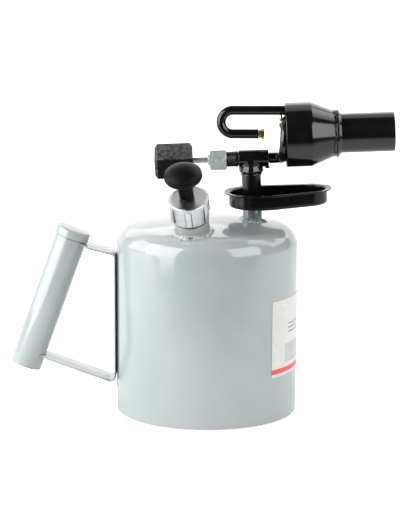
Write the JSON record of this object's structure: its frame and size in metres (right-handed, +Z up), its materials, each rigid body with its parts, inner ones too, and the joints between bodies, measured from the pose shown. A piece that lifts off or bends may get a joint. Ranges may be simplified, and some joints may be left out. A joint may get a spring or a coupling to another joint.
{
  "type": "petrol blowlamp",
  "caption": "Petrol blowlamp: round tank with a side handle and hand pump, and a burner head on a riser with a preheating tray, needle valve, vaporiser coil and flame tube.",
  "frame": {"origin": "centre of the tank's base, on the surface it stands on", "axes": "+X towards the flame tube's mouth, +Y away from the filler cap's side, +Z up"},
  "size_m": [0.2756, 0.1426, 0.2245],
  "materials": {
    "tank_shell": "gloss",
    "tank_base": "gloss",
    "filler_neck": "gloss",
    "outlet_bush": "gloss",
    "handle_strap": "gloss",
    "grip_tube": "gloss",
    "grip_cap": "gloss",
    "label": "satin film",
    "dip_tube": "plain",
    "fuel_strainer": "fine gauze",
    "riser_pipe": "gloss black enamel",
    "preheat_tray": "gloss black enamel",
    "valve_body": "satin black enamel",
    "gland_stub": "satin black enamel",
    "gland_packing": "graphited cord",
    "gland_follower": "plain",
    "gland_nut": "zinc plated",
    "valve_seat": "plain",
    "valve_spindle": "zinc plated",
    "valve_knob": "rough moulding",
    "knob_screw": "zinc plated",
    "feed_tube": "satin black enamel",
    "vaporiser_coil": "gloss black enamel",
    "return_bend": "gloss black enamel",
    "jet": "machined",
    "burner_casing": "gloss black enamel",
    "cone_ring": "gloss black enamel",
    "flame_tube": "gloss black enamel",
    "cap_gasket": "matte",
    "pump_barrel": "plain",
    "foot_valve_cage": "machined",
    "foot_valve_seal": "matte",
    "foot_valve_poppet": "machined",
    "foot_valve_spring": "plain",
    "pump_cap": "brushed top, bright rim",
    "pump_knob": "satin moulding",
    "pump_rod": "plain",
    "piston_cup": "oiled",
    "piston_washer": "zinc plated",
    "piston_nut": "plain"
  },
  "bodies": {
    "body": {"tank_shell": "tank_shell", "tank_base": "tank_base", "filler_neck": "filler_neck", "outlet_bush": "outlet_bush", "dip_tube": "dip_tube", "fuel_strainer": "fuel_strainer", "riser_pipe": "riser_pipe", "preheat_tray": "preheat_tray", "valve_body": "valve_body", "gland_stub": "gland_stub", "gland_packing": "gland_packing", "gland_follower": "gland_follower", "gland_nut": "gland_nut", "valve_seat": "valve_seat", "feed_tube": "feed_tube", "vaporiser_coil": "vaporiser_coil", "return_bend": "return_bend", "jet": "jet", "burner_casing": "burner_casing", "cone_ring": "cone_ring", "flame_tube": "flame_tube", "handle_strap": "handle_strap", "grip_tube": "grip_tube", "grip_cap": "grip_cap", "label": "label"},
    "pump_unit": {"cap_gasket": "cap_gasket", "pump_barrel": "pump_barrel", "foot_valve_cage": "foot_valve_cage", "foot_valve_spring": "foot_valve_spring"},
    "filler_cap": {"pump_cap": "pump_cap"},
    "plunger": {"pump_knob": "pump_knob", "pump_rod": "pump_rod", "piston_cup": "piston_cup", "piston_washer": "piston_washer", "piston_nut": "piston_nut"},
    "foot_valve": {"foot_valve_seal": "foot_valve_seal", "foot_valve_poppet": "foot_valve_poppet"},
    "spindle": {"valve_spindle": "valve_spindle"},
    "knob": {"valve_knob": "valve_knob", "knob_screw": "knob_screw"}
  },
  "joints": [
    {"name": "pump_rise", "type": "slide", "parent": "body", "child": "pump_unit", "axis": [-0.1036, -0.4595, 0.8821], "range_m": [0, 0.0045]},
    {"name": "cap_turn", "type": "hinge", "parent": "pump_unit", "child": "filler_cap", "pos_m": [-0.01207, -0.05269, 0.15649], "axis": [-0.1036, -0.4595, 0.8821], "range_deg": [0, 1080]},
    {"name": "pump_stroke", "type": "slide", "parent": "pump_unit", "child": "plunger", "axis": [-0.1036, -0.4595, 0.8821], "range_m": [0, 0.06]},
    {"name": "check_lift", "type": "slide", "parent": "pump_unit", "child": "foot_valve", "axis": [0.1036, 0.4595, -0.8821], "range_m": [0, 0.0015], "stiffness_N_per_m": 60, "springref_m": -0.003, "deforming": ["foot_valve_spring"]},
    {"name": "spindle_travel", "type": "slide", "parent": "body", "child": "spindle", "axis": [-0.9993, 0, -0.0384], "range_m": [0, 0.002]},
    {"name": "valve_turn", "type": "hinge", "parent": "spindle", "child": "knob", "pos_m": [-0.02396, 0, 0.18167], "axis": [-0.9993, 0, -0.0384], "range_deg": [0, 720]}
  ],
  "couplings": [
    {"joint": "cap_turn", "follows": "pump_rise", "rad_per_m": 4188.8},
    {"joint": "valve_turn", "follows": "spindle_travel", "rad_per_m": 6283.2}
  ]
}
